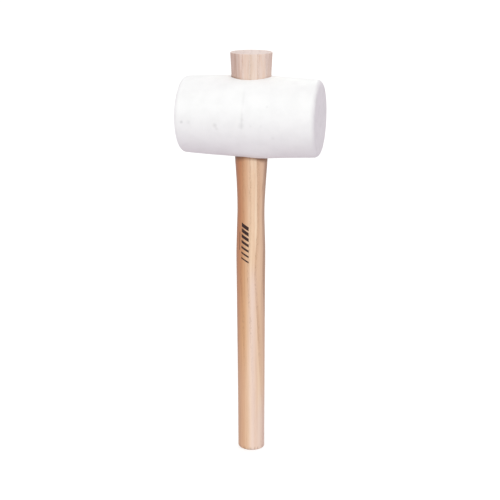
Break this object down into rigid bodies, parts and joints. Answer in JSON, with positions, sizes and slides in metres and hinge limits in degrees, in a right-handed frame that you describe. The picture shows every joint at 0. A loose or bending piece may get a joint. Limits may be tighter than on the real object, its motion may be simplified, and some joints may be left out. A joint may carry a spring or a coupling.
{
  "type": "rubber mallet",
  "caption": "Mallet with a solid white rubber barrel head jammed on the flared end of a turned round ash handle.",
  "frame": {"origin": "centre of the handle's butt, on the handle's axis, the lowest point of the mallet", "axes": "+Z along the handle towards the head; X along the barrel from one striking face to the other; Y across both"},
  "size_m": [0.13, 0.075, 0.39],
  "materials": {
    "ash_wood": "satin clear varnish over long-grained ash, bare and paler above the head",
    "white_rubber": "smooth matte moulded rubber with faint mould marks"
  },
  "bodies": {
    "handle": {"handle": "ash_wood"},
    "head": {"rubber_head": "white_rubber"}
  },
  "joints": [
    {"name": "head_slide", "type": "slide", "parent": "handle", "child": "head", "axis": [0, 0, -1], "range_m": [0, 0.29]}
  ]
}
